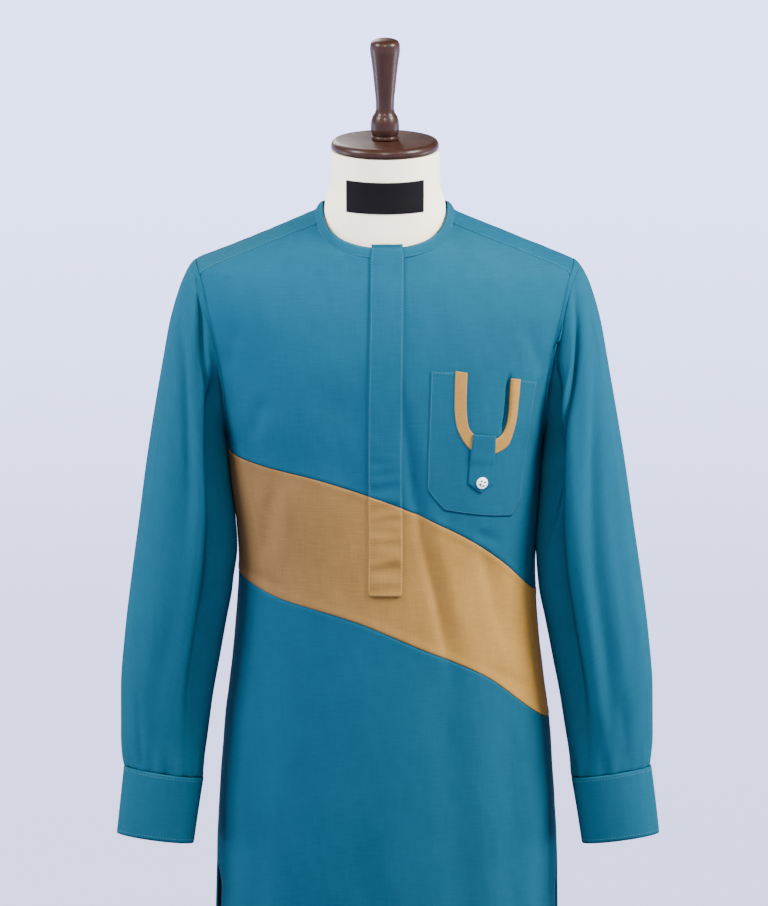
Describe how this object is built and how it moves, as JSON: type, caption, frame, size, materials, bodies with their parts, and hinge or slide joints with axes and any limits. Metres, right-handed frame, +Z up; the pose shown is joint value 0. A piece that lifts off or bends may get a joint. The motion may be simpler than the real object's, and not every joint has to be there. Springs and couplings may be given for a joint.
{
  "type": "kaftan on a dress form stand",
  "caption": "Long-sleeved kaftan with a contrast diagonal band, front placket and chest pocket, worn by a dress form with a turned neck finial, a pole and a round foot.",
  "frame": {"origin": "centre of the round foot's flat underside, on the floor and on the pole's axis", "axes": "+Z up along the pole to the finial, -Y out of the garment's front, +X to the viewer's right, the wearer's left"},
  "size_m": [0.6588, 0.4, 1.6841],
  "materials": {
    "teal_cloth": "plain woven, matt",
    "tan_cloth": "plain woven, matt",
    "form_cover": "smooth off-white jersey",
    "walnut": "dark stain under satin lacquer",
    "label_black": "smooth woven label, bare",
    "steel": "brushed",
    "snap_silver": "polished, with clear facets"
  },
  "bodies": {
    "root": {"front_upper": "teal_cloth", "front_band": "tan_cloth", "front_lower": "teal_cloth", "back": "teal_cloth", "sleeve_left": "teal_cloth", "cuff_left": "teal_cloth", "sleeve_right": "teal_cloth", "cuff_right": "teal_cloth", "neck_binding": "teal_cloth", "placket_upper": "teal_cloth", "placket_lower": "tan_cloth", "pocket": "teal_cloth", "pocket_trim": "tan_cloth", "pocket_tab": "teal_cloth", "snap_button": "snap_silver", "form_body": "form_cover", "form_label": "label_black", "neck_cap": "walnut", "finial": "walnut", "pole": "steel", "base": "walnut"}
  },
  "joints": []
}
